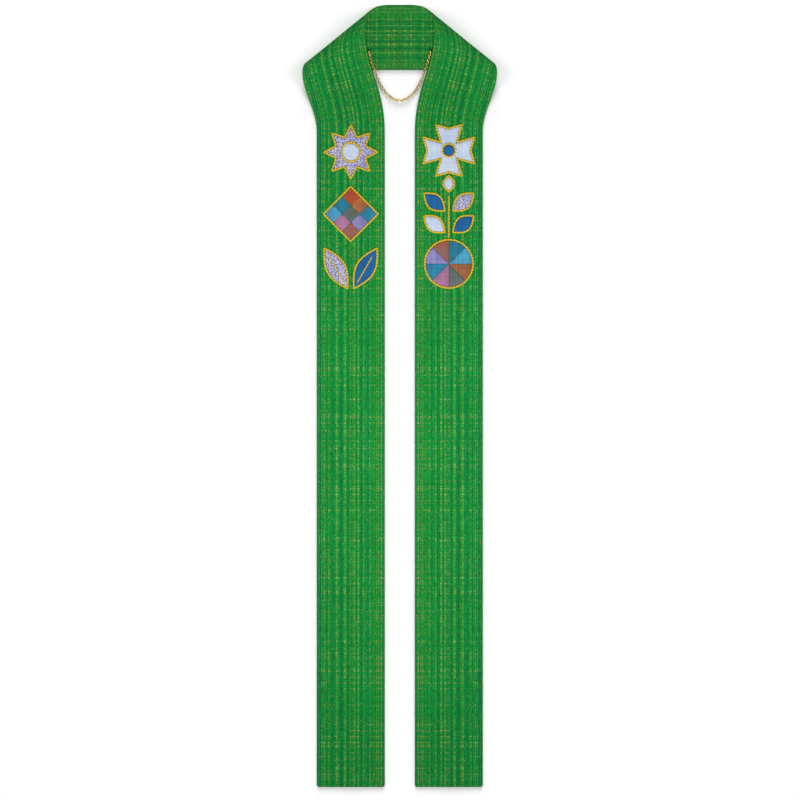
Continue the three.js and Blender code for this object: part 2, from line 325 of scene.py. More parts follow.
# ---- patch cloths, gilt thread and brass ----
PATCH_THREAD = 0.8  # mm
PATCH_WEAVE = 0.35  # mm, half a wave of a patch cloth's fine weave
PLIES = 4.0  # fine plies round one strand of gilt cord
PLY_SLANT = 1.6  # turns of a ply pattern in each millimetre along a strand
GILT = (1.0, 0.84, 0.03)
GILT_SHADE = (1.0, 0.60, 0.01)
COUCHING = (0.62, 0.22, 0.015)
COUCHING_SHADE = (0.45, 0.12, 0.01)
TARNISHED_BRASS = (0.50, 0.35, 0.06)
BRIGHT_BRASS = (0.85, 0.66, 0.22)


def patch_cloth(name, colour, partner, fleck=None, fleck_share=0.0, tone=0.10):
    """A sewn-on cloth: its colour drifting towards a partner, crossed threads, and flecks."""
    tree, surface, material = new_material(name, 0.7, specular=0.2)
    source = node(tree, "TexCoord").outputs["Object"]
    across, along = mapped(tree, source, 1 / MM)
    drift = cloud(tree, across, along, 24, 30, detail=2)
    drift = node(tree, "MapRange", {0: drift, 1: 0.32, 2: 0.68}).outputs[0]
    cloth = blend_colours(tree, drift, colour, partner)
    upright, _ = thread_value(tree, across, PATCH_THREAD, 5.1)
    crossing, _ = thread_value(tree, along, PATCH_THREAD, 71.9)
    threads = maths(tree, "ADD", upright, crossing)
    thread_tone = grey(tree, threads, 1 - tone, 1 + tone * 0.6)
    cloth = blend_colours(tree, 1.0, cloth, thread_tone, "MULTIPLY")
    if fleck:
        mottle = cloud(tree, across, along, 2.6, 2.2, detail=1)
        marked = node(tree, "MapRange", {0: mottle, 1: 0.50, 2: 0.56}).outputs[0]
        cloth = blend_colours(tree, maths(tree, "MULTIPLY", marked, fleck_share), cloth, fleck)
    tree.links.new(cloth, surface.inputs["Base Color"])
    across_wave = maths(tree, "SINE", maths(tree, "MULTIPLY", across, math.pi / PATCH_WEAVE))
    along_wave = maths(tree, "SINE", maths(tree, "MULTIPLY", along, math.pi / PATCH_WEAVE))
    relief = maths(tree, "ADD", maths(tree, "MULTIPLY", across_wave, along_wave), threads)
    bump(tree, surface, relief, 0.08 * MM)
    surface.inputs["Sheen Weight"].default_value = 0.05
    return material


def gold_thread(name, colour, shade):
    """Twisted cord of gilt thread: fine plies round the strand, brighter and duller in turn."""
    tree, surface, material = new_material(name, 0.42, specular=0.4)
    uv = node(tree, "UVMap", uv_map="ply").outputs[0]
    along, around = mapped(tree, uv, 1.0)
    ply = maths(tree, "ADD", maths(tree, "MULTIPLY", along, PLY_SLANT),
                maths(tree, "MULTIPLY", around, PLIES))
    wave = maths(tree, "SINE", maths(tree, "MULTIPLY", ply, 2 * math.pi))
    patchy = cloud(tree, along, around, 3.1, 5.0, detail=3)
    share = maths(tree, "ADD", grey(tree, wave, 0.0, 0.16), patchy)
    colour_out = ramp(tree, share, [(0.36, shade), (0.62, colour)])
    tree.links.new(colour_out, surface.inputs["Base Color"])
    bump(tree, surface, wave, 0.05 * MM)
    return material


def chain_metal():
    """Gilt brass, tarnished in patches and finely scratched."""
    tree, surface, material = new_material("gilt_brass", 0.27, metallic=1.0, specular=0.5)
    source = node(tree, "TexCoord").outputs["Object"]
    across, along = mapped(tree, source, 1 / MM)
    tarnish = cloud(tree, across, along, 3.3, 3.3, detail=4, rough=0.6)
    colour = ramp(tree, tarnish, [(0.35, TARNISHED_BRASS), (0.60, BRIGHT_BRASS)])
    tree.links.new(colour, surface.inputs["Base Color"])
    scratches = cloud(tree, across, along, 0.35, 0.35, detail=3)
    bump(tree, surface, scratches, 0.02 * MM)
    return material


# ---- mesh helpers ----
def add_piece(name, points, faces, materials, uv_name=None, uvs=None, face_material=None):
    mesh = bpy.data.meshes.new(name)
    mesh.from_pydata([tuple(p) for p in points], [], faces)
    for material in materials:
        mesh.materials.append(material)
    if uv_name:
        layer = mesh.uv_layers.new(name=uv_name)
        loops = np.zeros(len(mesh.loops), dtype=int)
        mesh.loops.foreach_get("vertex_index", loops)
        layer.data.foreach_set("uv", np.asarray(uvs, float)[loops].ravel())
    if face_material is not None:
        mesh.polygons.foreach_set("material_index", face_material)
    mesh.polygons.foreach_set("use_smooth", [True] * len(mesh.polygons))
    mesh.update()
    piece = bpy.data.objects.new(name, mesh)
    bpy.context.scene.collection.objects.link(piece)
    return piece


def stand_for(piece, slot, *nodes):
    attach(piece, "root")
    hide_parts(*nodes)


def root_gap(first, second):
    return np.sqrt(np.linalg.norm(second - first, axis=1, keepdims=True))


def curve_at(points, numbers):
    """Points on the smooth curve through a row of points, at fractional point numbers."""
    padded = np.vstack([2 * points[0] - points[1], points, 2 * points[-1] - points[-2]])
    start = np.minimum(numbers.astype(int), len(points) - 2)
    share = (numbers - start)[:, None]
    before, here, there, after = (padded[start + k] for k in range(4))
    d0, d1, d2 = root_gap(before, here), root_gap(here, there), root_gap(there, after)
    leave = ((here - before) / d0 - (there - before) / (d0 + d1) + (there - here) / d1) * d1
    arrive = ((there - here) / d1 - (after - here) / (d1 + d2) + (after - there) / d2) * d1
    square = -3 * here + 3 * there - 2 * leave - arrive
    cube = 2 * here - 2 * there + leave + arrive
    return here + leave * share + square * share ** 2 + cube * share ** 3


# ---- the halves ----
ROW_TABLE = np.array([
    # neck edge: across, down, height; outer edge: across, down, height (mm, cloth's middle)
    [0.15, 0, 1.2, 0.15, 115, 1.2],  # centre-back seam
    [21, 0, 1.2, 70, 115, 1.2],
    [40, 3.6, 4.4, 137, 115, 1.2],  # the neck edge begins to lift into the fold
    [52.5, 13.2, 11.5, 160, 109.5, 3.2],
    [56, 17, 15.8, 165.5, 104.4, 6.6],  # outermost line of the fold
    [57.2, 21, 19.6, 168.8, 108.4, 9.8],
    [58, 28, 22.7, 170.6, 113, 11.9],
    [59.2, 38, 24, 171.4, 118.5, 12.5],  # crest of the fold
    [61, 60, 20.6, 170.8, 131, 10.2],
    [57.2, 84, 13, 167.4, 146.5, 5.6],
    [48, 117, 6.2, 161, 165, 2.2],  # the front leaves the neck stretch under it
    [38.4, 146, 2.9, 154, 184, 1.2],
    [31, 176, 1.35, 149.2, 201, 1.2],
    [27.4, 203, 1.2, 147, 213, 1.2],
    [26.5, 222, 1.2, 146.5, 222, 1.2],
]) * MM
FOLD_FROM, FOLD_TO = 3, 8  # rows between which the cloth turns over
RIPPLES_FROM, RIPPLES_TO = 9, 11  # rows over which the ripples come in
HEM_ROWS_FROM = 10  # rows from here on can be near the hem
LATER_ROW = 0.05  # row number gained by each row past the table
ROW_STEP = 3.5 * MM
FRONT_ROW_STEP = ROW_STEP * 1.15
COLUMN_STEP = 3.6 * MM
FOLD_LENGTH = 48 * MM  # length of weave taken up by the fold
SWING = 30 * MM  # how far out a front's middle line starts, at the shoulder
SWING_FROM, SWING_TO = 62 * MM, 217 * MM  # down from the neck edge
FOOT_ROUNDS = 14  # steps of nearing the closest point on that middle line
PAST_ENDS = 50 * MM  # how far the line is measured past the cloth's ends
WEAVE_MARKS = 1500
EDGE_STEPS = np.array([0, 0.12, 0.4, 0.8, 1.5, 3.2]) * MM  # close rows and columns at an edge
EDGE_ROUND = 1.5 * MM
# how far in from the cut edges the painted shade reaches
EDGE_SHADE_REACH = 1.6 * MM

# Soft ridges: across and down of the middle, half length, half width, turn from straight
# down (degrees), and height. Millimetres.
RIPPLES = [
    # left front
    (-58, 172, 26, 7, -28, 1.3), (-78, 190, 34, 9, -24, 0.9), (-128, 205, 22, 8, -18, 0.7),
    (-92, 560, 90, 16, 3, 0.5), (-60, 800, 120, 14, -2, 0.6), (-118, 930, 130, 18, 4, 0.5),
    (-72, 1130, 110, 15, 2, 0.7), (-126, 1240, 90, 12, -3, 0.6), (-84, 1350, 40, 22, 0, 0.8),
    # right front
    (60, 168, 24, 7, 29, 1.2), (80, 192, 36, 9, 24, 1.0), (131, 208, 20, 8, 16, 0.6),
    (84, 600, 100, 15, -2, 0.5), (122, 760, 110, 15, 3, 0.6), (62, 960, 120, 17, -3, 0.5),
    (106, 1120, 120, 14, 1, 0.6), (58, 1260, 80, 13, 3, 0.7), (92, 1352, 36, 24, 0, 0.7),
]
RIPPLE_COLUMNS = ("across", "down", "half_length", "half_width", "turn", "height")


def lift(across, down):
    """How far the cloth stands off its flat lay at a place, in metres."""
    total = np.zeros(np.broadcast(across, down).shape)
    for row in RIPPLES:
        ripple = dict(zip(RIPPLE_COLUMNS, row))
        turn = math.radians(ripple["turn"])
        dx = across / MM - ripple["across"]
        dy = down / MM - ripple["down"]
        length = (dy * math.cos(turn) + dx * math.sin(turn)) / ripple["half_length"]
        width = (dx * math.cos(turn) - dy * math.sin(turn)) / ripple["half_width"]
        total = total + ripple["height"] * MM * np.exp(-length ** 2 - width ** 2)
    return total


def front_line(down):
    """Across of a front's middle line, and its slope, at a place down."""
    share = np.clip((down - SWING_FROM) / (SWING_TO - SWING_FROM), 0, 1)
    across = FRONT_MIDDLE + SWING * (1 - share * share * (3 - 2 * share))
    slope = -SWING * 6 * share * (1 - share) / (SWING_TO - SWING_FROM)
    return across, slope


def front_weave(across, down):
    """Length along the front's middle line, and distance inwards to outwards over its width."""
    foot = down.copy()
    for _ in range(FOOT_ROUNDS):
        middle, slope = front_line(foot)
        foot = down + (across - middle) * slope
    middle, slope = front_line(foot)
    size = np.sqrt(1 + slope ** 2)
    aside = ((across - middle) - (down - foot) * slope) / size
    marks = np.linspace(-PAST_ENDS, LENGTH + PAST_ENDS, WEAVE_MARKS)
    steps = np.diff(marks) * np.sqrt(1 + front_line(marks[:-1])[1] ** 2)
    length = np.interp(foot, marks, np.concatenate([[0], np.cumsum(steps)]))
    return length, aside + FRONT_WIDTH / 2


def straight_rows():
    """Row ends of the straight front below the table, drawn in at the hem's round corners."""
    straight_from = ROW_TABLE[-1][1]
    down = list(np.arange(straight_from + ROW_STEP, LENGTH - HEM_CORNER, FRONT_ROW_STEP))
    down += list(LENGTH - HEM_CORNER * np.array([1, 0.8, 0.6, 0.4]))
    down += list(LENGTH - EDGE_STEPS[::-1][1:])
    down = np.array(sorted(down))
    corner = np.clip(HEM_CORNER - (LENGTH - down), 0, HEM_CORNER)
    inset = HEM_CORNER - np.sqrt(HEM_CORNER ** 2 - corner ** 2)
    front_outer = FRONT_INNER + FRONT_WIDTH
    neck = np.array([place(FRONT_INNER + i, d, CLOTH / 2) for i, d in zip(inset, down)])
    outer = np.array([place(front_outer - i, d, CLOTH / 2) for i, d in zip(inset, down)])
    return neck, outer


def half_rows():
    """Neck-side and outer ends of each row of the cloth's middle, and the row numbers."""
    ends = [
        np.array([place(*row[k:k + 3]) for row in ROW_TABLE]) for k in (0, 3)
    ]
    reach = np.maximum(*(np.linalg.norm(np.diff(e, axis=0), axis=1) for e in ends))
    numbers = list(EDGE_STEPS[:-1] / reach[0])
    for stretch, size in enumerate(reach):
        count = math.ceil(size / ROW_STEP)
        first = 1 if stretch == 0 else 0
        numbers += [stretch + k / count for k in range(first, count)]
    numbers.append(len(ROW_TABLE) - 1.0)
    numbers = np.array(numbers)
    neck, outer = (curve_at(e, numbers) for e in ends)
    for line in (neck, outer):
        line[:, 1] = np.minimum(line[:, 1], NECK_EDGE)
        line[:, 2] = np.maximum(line[:, 2], CLOTH / 2)
    low_neck, low_outer = straight_rows()
    later = numbers[-1] + np.arange(1, len(low_neck) + 1) * LATER_ROW
    numbers = np.concatenate([numbers, later])
    return np.vstack([neck, low_neck]), np.vstack([outer, low_outer]), numbers


def half_columns():
    """Shares of the width at which the cloth's columns lie, closer together at its edges."""
    nominal = (NECK_WIDTH + FRONT_WIDTH) / 2
    close = EDGE_STEPS / nominal
    count = round((nominal - 2 * EDGE_STEPS[-1]) / COLUMN_STEP)
    between = np.linspace(close[-1], 1 - close[-1], count + 1)[1:-1]
    return np.concatenate([close, between, 1 - close[::-1]])


def distance_in(middle, shares, width, numbers):
    """How far each point of the cloth's middle is from the nearest cut edge or seam."""
    down = NECK_EDGE - middle[..., 1]
    from_side = np.minimum(shares[None, :] * width, (1 - shares)[None, :] * width)
    from_hem = np.where(numbers[:, None] > HEM_ROWS_FROM, LENGTH - down, FAR)
    from_seam = np.where(numbers[:, None] < FOLD_FROM, middle[..., 0] - GAP / 2, FAR)
    return np.maximum(np.minimum(from_side, np.minimum(from_hem, from_seam)), 0)


def surface_normals(middle):
    normal = np.cross(np.gradient(middle, axis=0), np.gradient(middle, axis=1))
    return normal / np.linalg.norm(normal, axis=2, keepdims=True)


def border_of(shape):
    border = np.zeros(shape, bool)
    border[[0, -1], :] = True
    border[:, [0, -1]] = True
    return border


def shell_faces(border, sign):
    """Faces of a top and a bottom grid that share their border, facing outwards."""
    top = np.arange(border.size).reshape(border.shape)
    bottom = top.copy()
    bottom[~border] = border.size + np.arange((~border).sum())
    quads = []
    for grid, up in ((top, True), (bottom, False)):
        a, b, c, d = grid[:-1, :-1], grid[1:, :-1], grid[1:, 1:], grid[:-1, 1:]
        order = (a, b, c, d) if up == (sign > 0) else (a, d, c, b)
        quads.append(np.stack([corner.ravel() for corner in order], axis=1))
    return np.vstack(quads).tolist()


def add_half(side, sign, material):
    """One half of the stole, as a closed shell round the surface in the cloth's middle."""
    neck, outer, numbers = half_rows()
    shares = half_columns()
    middle = neck[:, None, :] + (outer - neck)[:, None, :] * shares[None, :, None]
    width = np.linalg.norm(outer - neck, axis=1)[:, None]
    down = NECK_EDGE - middle[..., 1]
    from_edge = distance_in(middle, shares, width, numbers)

    turned = smooth_share(numbers, FOLD_FROM, FOLD_TO)[:, None] + 0 * down
    length, inwards = front_weave(middle[..., 0], down)
    uv = np.stack([
        (1 - turned) * middle[..., 0] + turned * (length + FOLD_LENGTH),
        (1 - turned) * down + turned * inwards,
    ], axis=-1)

    normal = surface_normals(middle)
    rippled = smooth_share(numbers, RIPPLES_FROM, RIPPLES_TO)[:, None]
    middle[..., 2] += lift(sign * middle[..., 0], down) * rippled
    rim = np.minimum(from_edge / EDGE_ROUND, 1)
    half_thick = CLOTH / 2 * np.sqrt(1 - (1 - rim) ** 2)
    border = border_of(down.shape)
    half_thick[border] = 0
    top = middle + normal * half_thick[..., None]
    bottom = middle - normal * half_thick[..., None]
    points = np.vstack([top.reshape(-1, 3), bottom[~border]])
    points[:, 0] *= sign
    uvs = np.vstack([uv.reshape(-1, 2), uv[~border]])
    faces = shell_faces(border, sign)
    piece = add_piece("cloth_" + side, points, faces, [material], "weave", uvs)

    # painted shade along the cut edges, handed to the cloth's material as the edge attribute
    edge_shade = np.exp(-(from_edge / EDGE_SHADE_REACH) ** 2)
    for name, values in (("neck", 1 - turned), ("edge", edge_shade)):
        attribute = piece.data.attributes.new(name, "FLOAT", "POINT")
        both_sides = np.concatenate([values.ravel(), values[~border]])
        attribute.data.foreach_set("value", both_sides.astype(np.float32))
    stand_for(piece, "green_cloth", "half_" + side)


# ---- tubes, for strands, stitches and links ----
def tube(points, radius, sides, closed):
    """Points, faces and UVs of a round tube along points."""
    points = np.asarray(points)
    count = len(points)
    if closed:
        tangent = np.roll(points, -1, axis=0) - np.roll(points, 1, axis=0)
    else:
        tangent = np.gradient(points, axis=0)
    tangent /= np.linalg.norm(tangent, axis=1, keepdims=True)
    aside = np.cross(tangent, [0, 0, 1.0])
    size = np.linalg.norm(aside, axis=1, keepdims=True)
    aside = np.where(size > 1e-3, aside / np.maximum(size, 1e-9), [1.0, 0, 0])
    above = np.cross(aside, tangent)
    angles = 2 * math.pi * np.arange(sides) / sides
    ring = (np.cos(angles)[None, :, None] * aside[:, None, :]
            + np.sin(angles)[None, :, None] * above[:, None, :])
    vertices = (points[:, None, :] + ring * radius).reshape(-1, 3)
    steps = np.linalg.norm(np.diff(points, axis=0), axis=1)
    length = np.concatenate([[0], np.cumsum(steps)])
    uvs = np.stack(np.broadcast_arrays(
        length[:, None] / MM, (np.arange(sides) / sides)[None, :]), axis=-1).reshape(-1, 2)
    faces = []
    for i in range(count if closed else count - 1):
        following = (i + 1) % count
        for k in range(sides):
            beside = (k + 1) % sides
            faces.append([i * sides + k, i * sides + beside,
                          following * sides + beside, following * sides + k])
    if not closed:
        faces.append(list(range(sides))[::-1])
        faces.append([(count - 1) * sides + k for k in range(sides)])
    return vertices, faces, uvs


class Bundle:
    """Several tubes gathered into the vertices and faces of one piece."""

    def __init__(self):
        self.vertices, self.faces, self.uvs, self.materials = [], [], [], []
        self.count = 0

    def add(self, part, material=0):
        vertices, faces, uvs = part
        self.faces += [[corner + self.count for corner in face] for face in faces]
        self.vertices.append(vertices)
        self.uvs.append(uvs)
        self.materials += [material] * len(faces)
        self.count += len(vertices)

    def piece(self, name, materials):
        return add_piece(name, np.vstack(self.vertices), self.faces, materials, "ply",
                         np.vstack(self.uvs), self.materials)


# ---- the neck chain ----
CHAIN_TABLE = np.array([
    # across, down, height (mm), from the right end in to the lowest point of the loop
    [53.2, 88, 10.6], [50.6, 97, 8.7], [47.4, 108, 6.4], [43.9, 118, 4.7], [40.2, 127, 3.1],
    [35.6, 137, 2.3], [30.2, 147, 2.2], [23.6, 156, 2.2], [16, 162.7, 2.2], [8, 167.4, 2.2],
    [0, 169, 2.2],
]) * MM
LINK_WIRE = 0.78 * MM  # radius
LINK_LENGTH = 6.2 * MM
LINK_WIDTH = 4.5 * MM
LINK_PITCH = 3.9 * MM
LINK_LEAN = math.radians(28)
LINK_POINTS = 14
LINK_FULLNESS = 0.8  # below 1, the link's ends are fuller than an oval's
ROUTE_POINTS = 321


def chain_route():
    """The chain's middle line from its left end to its right one."""
    right = np.array([place(*row) for row in CHAIN_TABLE])
    left = right * [-1, 1, 1]
    points = np.vstack([left, right[::-1][1:]])
    return curve_at(points, np.linspace(0, len(points) - 1, ROUTE_POINTS))


def evenly(points, step, closed=False):
    """The line through points again, with its points evenly apart."""
    if closed:
        points = np.vstack([points, points[:1]])
    length = np.concatenate([[0], np.cumsum(np.linalg.norm(np.diff(points, axis=0), axis=1))])
    count = max(2, round(length[-1] / step))
    marks = np.linspace(0, length[-1], count + 1)
    if closed:
        marks = marks[:-1]
    columns = [np.interp(marks, length, points[:, k]) for k in range(points.shape[1])]
    return np.stack(columns, axis=1)


def link_ring(middle, along, lean):
    """The centreline of one link: long round the chain's run, leaning over to one side."""
    aside = np.cross(along, [0, 0, 1.0])
    aside /= np.linalg.norm(aside)
    above = np.cross(aside, along)
    flat = aside * math.cos(lean) + above * math.sin(lean)
    long_half = LINK_LENGTH / 2 - LINK_WIRE
    wide_half = LINK_WIDTH / 2 - LINK_WIRE
    angles = 2 * math.pi * np.arange(LINK_POINTS) / LINK_POINTS
    stretch = np.sign(np.cos(angles)) * np.abs(np.cos(angles)) ** LINK_FULLNESS
    run = np.outer(stretch * long_half, along)
    return middle + run + np.outer(np.sin(angles) * wide_half, flat)


def wire_loop(ring, radius, sides=6):
    """A closed wire along a flat ring of points, wherever the ring leans."""
    middle = ring.mean(axis=0)
    tangent = np.roll(ring, -1, axis=0) - np.roll(ring, 1, axis=0)
    tangent /= np.linalg.norm(tangent, axis=1, keepdims=True)
    normal = np.cross(ring[0] - middle, ring[3] - middle)
    normal /= np.linalg.norm(normal)
    outward = np.cross(tangent, normal)
    angles = 2 * math.pi * np.arange(sides) / sides
    section = (np.cos(angles)[None, :, None] * outward[:, None, :]
               + np.sin(angles)[None, :, None] * normal)
    vertices = (ring[:, None, :] + section * radius).reshape(-1, 3)
    count = len(ring)
    faces = []
    for i in range(count):
        following = (i + 1) % count
        for k in range(sides):
            beside = (k + 1) % sides
            faces.append([i * sides + k, following * sides + k,
                          following * sides + beside, i * sides + beside])
    return vertices, faces, np.zeros((len(vertices), 2))


def add_chain(material):
    route = chain_route()
    marks = evenly(route, LINK_PITCH)
    bundle = Bundle()
    for number in range(len(marks) - 1):
        here, there = marks[number], marks[number + 1]
        along = (there - here) / np.linalg.norm(there - here)
        lean = LINK_LEAN if number % 2 else -LINK_LEAN
        middle = (here + there) / 2
        bundle.add(wire_loop(link_ring(middle, along, lean), LINK_WIRE))
    piece = bundle.piece("neck_chain", [material])
    stand_for(piece, "chain", "chain")


CRIMP_BODY = 0.86  # of the crimp's full radius
CRIMP_CUTS = (-0.28, -0.12, 0.12, 0.28)  # rings cut round the sleeve, in shares of its length
COLLAR_FROM, COLLAR = 0.2, 1.14  # share of the length from the middle, and size over the body
MOUTH_FROM, MOUTH = 0.4, 0.80
CRIMP_BEVEL = 0.25 * MM


def deselect_all():
    for other in bpy.context.scene.objects:
        other.select_set(False)


def add_crimp(side, sign, material):
    """The sleeve that closes an end of the chain, nipped at both ends and round its middle."""
    route = chain_route()
    end, inner = (route[0], route[1]) if sign < 0 else (route[-1], route[-2])
    outward = Vector(end - inner).normalized()
    middle = Vector(end) + outward * (GAP + CRIMP_LENGTH / 2)
    deselect_all()
    turn = outward.to_track_quat("Z", "Y").to_euler()
    bpy.ops.mesh.primitive_cylinder_add(
        vertices=24, radius=CRIMP_RADIUS * CRIMP_BODY, depth=CRIMP_LENGTH, location=middle, rotation=turn
    )
    piece = bpy.context.active_object
    piece.name = "crimp_" + side
    bpy.ops.object.transform_apply(location=True, rotation=True, scale=True)
    bpy.ops.object.mode_set(mode="EDIT")
    for share in CRIMP_CUTS:
        bpy.ops.mesh.select_all(action="SELECT")
        bpy.ops.mesh.bisect(
            plane_co=middle + outward * (CRIMP_LENGTH * share), plane_no=outward
        )
    bpy.ops.object.mode_set(mode="OBJECT")
    for vertex in piece.data.vertices:
        offset = vertex.co - middle
        run = offset.dot(outward)
        round_part = offset - outward * run
        share = abs(run) / CRIMP_LENGTH
        size = 1.0
        if share > COLLAR_FROM:
            size = COLLAR
        if share > MOUTH_FROM:
            size = MOUTH
        vertex.co = middle + outward * run + round_part * size
    bevel = piece.modifiers.new("soft_edges", "BEVEL")
    bevel.width = CRIMP_BEVEL
    bevel.segments = 2
    bevel.limit_method = "ANGLE"
    bpy.ops.object.modifier_apply(modifier=bevel.name)
    bpy.ops.object.shade_smooth_by_angle(angle=math.radians(40))
    piece.data.materials.append(material)
    stand_for(piece, "chain", "chain_end_" + side)


# ---- outlines of the patches, in plan, anticlockwise ----
MITRE_LIMIT = 0.45  # sharper corners than this are moved out less than a full mitre


def polar(middle, radius, angle):
    return middle + radius * np.array([math.cos(angle), math.sin(angle)])


def disc_outline(middle, radius, sides=40):
    return np.array([polar(middle, radius, 2 * math.pi * i / sides) for i in range(sides)])


def star_outline(middle, tip_radius, notch_radius, tips):
    return np.array([
        polar(middle, notch_radius if i % 2 else tip_radius, math.pi / 2 + math.pi * i / tips)
        for i in range(tips * 2)
    ])


def cross_outline(middle, reach, waist, flare, hollow):
    """A cross whose four arms widen towards their hollowed ends."""
    points = []
    for arm in range(4):
        turn = math.pi / 2 * arm
        for out, aside in ((waist, -waist), (reach, -flare), (reach - hollow, 0), (reach, flare)):
            points.append(middle + [
                out * math.cos(turn) - aside * math.sin(turn),
                out * math.sin(turn) + aside * math.cos(turn),
            ])
    return np.array(points)


def leaf_outline(base, tip, width, steps=12):
    axis = tip - base
    aside = np.array([axis[1], -axis[0]]) / np.linalg.norm(axis)
    there = [i / steps for i in range(steps)]
    back = [1 - i / steps for i in range(steps)]
    sides = [(1, s) for s in there] + [(-1, s) for s in back]
    return np.array([
        base + axis * s + aside * direction * width * math.sin(math.pi * s) / 2
        for direction, s in sides
    ])


def wedge_outline(middle, radius, start, stop, steps=6):
    rim = [polar(middle, radius, start + (stop - start) * i / steps) for i in range(steps + 1)]
    return np.array([middle, *rim])


def square_outline(middle, left, low, size, turn=math.pi / 4):
    corners = [(left, low), (left + size, low), (left + size, low + size), (left, low + size)]
    return np.array([
        middle + [x * math.cos(turn) - y * math.sin(turn), x * math.sin(turn) + y * math.cos(turn)]
        for x, y in corners
    ])


def moved_out(outline, distance):
    """The outline moved outwards by a distance, with its corners mitred."""
    before = outline - np.roll(outline, 1, axis=0)
    after = np.roll(outline, -1, axis=0) - outline
    before /= np.linalg.norm(before, axis=1, keepdims=True)
    after /= np.linalg.norm(after, axis=1, keepdims=True)
    both = before + after
    outward = np.stack([both[:, 1], -both[:, 0]], axis=1)
    outward /= np.linalg.norm(outward, axis=1, keepdims=True)
    stretch = outward[:, 0] * before[:, 1] - outward[:, 1] * before[:, 0]
    return outline + outward * (distance / np.maximum(stretch, MITRE_LIMIT))[:, None]


def distance_to(outline, points):
    """How far each plan point is from the outline."""
    nearest = np.full(len(points), FAR)
    for a, b in zip(outline, np.roll(outline, -1, axis=0)):
        run = b - a
        share = np.clip(((points - a) @ run) / (run @ run), 0, 1)
        nearest = np.minimum(nearest, np.linalg.norm(points - a - share[:, None] * run, axis=1))
    return nearest


# ---- patches ----
PATCH_GRID = 5 * MM
PATCH_ROUND = 2.6 * MM  # how far in from its raw edge a patch reaches its full thickness
PATCH_RIM = (0.7 * MM, 1.3 * MM)
RAW_EDGE = 0.45  # a patch's thickness right at its raw edge, as a share of the full thickness


def add_patch(name, outline, material, slot, base, node_name):
    """A cut piece of cloth lying on the front, drawn down along its raw edge."""
    shape = bmesh.new()
    face = shape.faces.new([shape.verts.new((*p, 0)) for p in outline])
    for thickness in PATCH_RIM:
        bmesh.ops.inset_region(shape, faces=[face], thickness=thickness, use_even_offset=True)
    low, high = outline.min(axis=0), outline.max(axis=0)
    for axis in (0, 1):
        direction = (1, 0, 0) if axis == 0 else (0, 1, 0)
        for mark in np.arange(low[axis] + PATCH_GRID / 2, high[axis], PATCH_GRID):
            everything = [*shape.verts, *shape.edges, *shape.faces]
            point = Vector((mark, 0, 0)) if axis == 0 else Vector((0, mark, 0))
            bmesh.ops.bisect_plane(shape, geom=everything, plane_co=point, plane_no=direction)
    bottom = list(shape.faces)
    raised = bmesh.ops.extrude_face_region(shape, geom=bottom, use_keep_orig=True)
    tops = [v for v in raised["geom"] if isinstance(v, bmesh.types.BMVert)]
    plan = np.array([v.co.xy for v in tops])
    rim = np.minimum(distance_to(outline, plan) / PATCH_ROUND, 1)
    thick = PATCH * (RAW_EDGE + (1 - RAW_EDGE) * np.sqrt(1 - (1 - rim) ** 2))
    for vertex, height in zip(tops, thick):
        vertex.co.z += height
    for vertex in shape.verts:
        vertex.co.z += base + float(lift(vertex.co.x, NECK_EDGE - vertex.co.y))
    bmesh.ops.recalc_face_normals(shape, faces=shape.faces)
    mesh = bpy.data.meshes.new(name)
    shape.to_mesh(mesh)
    shape.free()
    mesh.polygons.foreach_set("use_smooth", [True] * len(mesh.polygons))
    mesh.materials.append(material)
    piece = bpy.data.objects.new(name, mesh)
    bpy.context.scene.collection.objects.link(piece)
    stand_for(piece, slot, node_name)


# ---- couched cord ----
TWIST = 7.4 * MM  # length of one full turn of the two strands
STITCH_EVERY = 5.2 * MM
STITCH = 0.40 * MM  # radius of a couching stitch
STITCH_POINTS = 7
STITCH_TUCK = 0.35  # radians that a stitch runs on round the cord, past level
STITCH_FLAT = 0.86  # a stitch's height over its reach aside
STITCH_SLANT = 0.55 * MM
STITCH_OUT = 0.55  # how far a stitch stands off the cord, in its own radii
CORD_STEP = 0.85 * MM
CORD_ROUNDS = 3  # rounds of softening at the cord's corners
CORD_RISE = 0.42  # height of the cord's middle over the cloth, in cord widths
CORD_FLAT = 0.8  # the strands' winding, pressed flat
STRAND_FULL = 1.08  # a strand's radius over its share of the cord
STRAND_SIDES, STITCH_SIDES = 6, 4


def softened(points, rounds, closed):
    """A line with its corners eased, a little more in each round."""
    for _ in range(rounds):
        before, after = np.roll(points, 1, axis=0), np.roll(points, -1, axis=0)
        eased = points * 0.5 + (before + after) * 0.25
        if not closed:
            eased[0], eased[-1] = points[0], points[-1]
        points = eased
    return points


